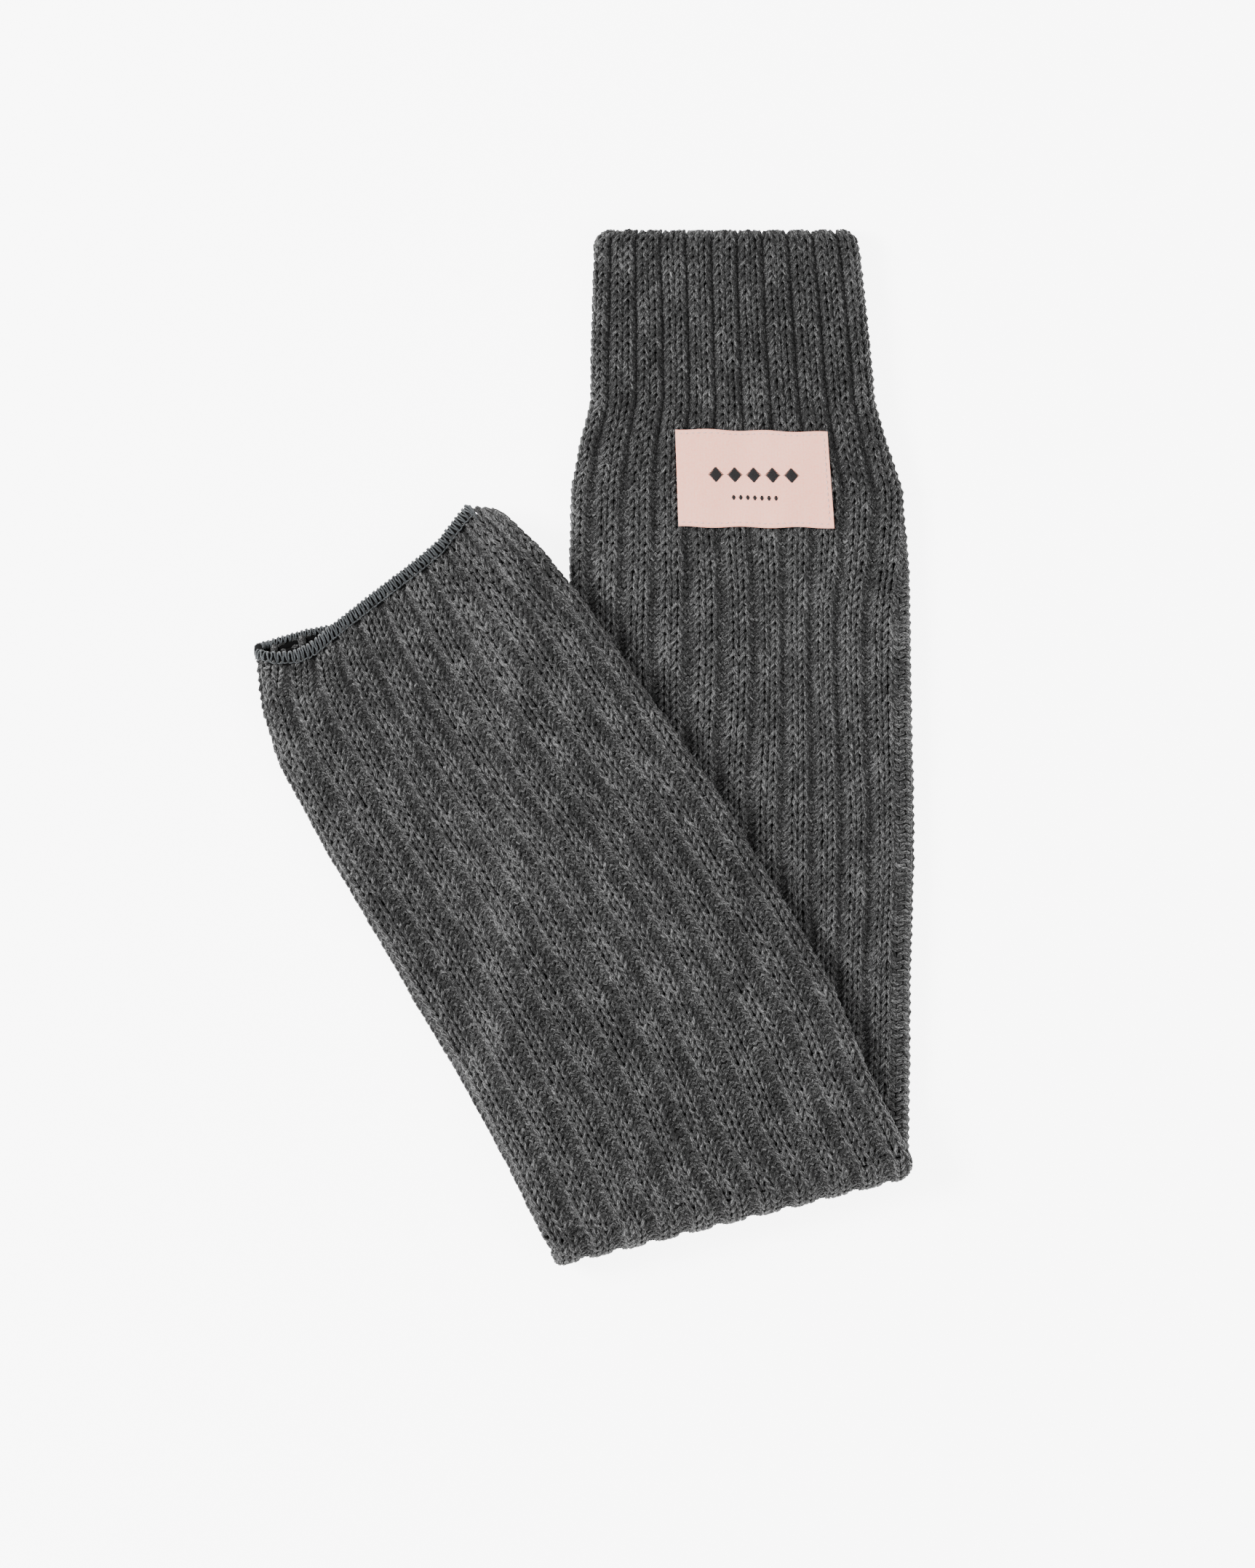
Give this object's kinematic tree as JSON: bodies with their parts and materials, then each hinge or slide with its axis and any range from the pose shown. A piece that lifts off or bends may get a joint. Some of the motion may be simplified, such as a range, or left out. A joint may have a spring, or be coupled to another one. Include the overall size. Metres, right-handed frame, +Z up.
{
  "type": "ribbed knit warmer",
  "caption": "Long ribbed knit tube for a forearm or leg, with a doubled narrower cuff, an overlocked open mouth and a sewn woven label, lying flat and folded once across its length.",
  "frame": {"origin": "bottom centre of the folded warmer's bounding box, on the surface that it lies on", "axes": "+Z up, +Y along the cuff half towards its cuff, +X to the right as seen from above"},
  "size_m": [0.2391, 0.3803, 0.0251],
  "materials": {
    "rib_knit": "matte",
    "seam_thread": "matte",
    "overlock_thread": "satin",
    "label_satin": "satin",
    "label_thread": "satin",
    "motif_thread": "satin"
  },
  "bodies": {
    "cuff_half": {"cuff_outer": "rib_knit", "cuff_turn_in": "rib_knit", "cuff_hem_stitching": "seam_thread", "lower_tube": "rib_knit", "lower_side_seam": "rib_knit", "fold_band": "rib_knit", "label_ground": "label_satin", "label_end_fold_left": "label_satin", "label_end_fold_right": "label_satin", "label_motif": "motif_thread", "label_stitch_top": "label_thread", "label_stitch_bottom": "label_thread", "label_stitch_right": "label_thread"},
    "open_half": {"upper_tube": "rib_knit", "mouth_tube": "rib_knit", "upper_side_seam": "rib_knit", "mouth_edge": "rib_knit", "overlock_needle_thread": "overlock_thread", "overlock_outer_looper": "overlock_thread", "overlock_inner_looper": "overlock_thread"}
  },
  "joints": [
    {"name": "fold_hinge", "type": "hinge", "parent": "cuff_half", "child": "open_half", "pos_m": [0.0564, -0.16495, 0.01255], "axis": [0.9703, 0.2419, 0], "range_deg": [0, 180], "deforming": ["fold_band"]}
  ]
}
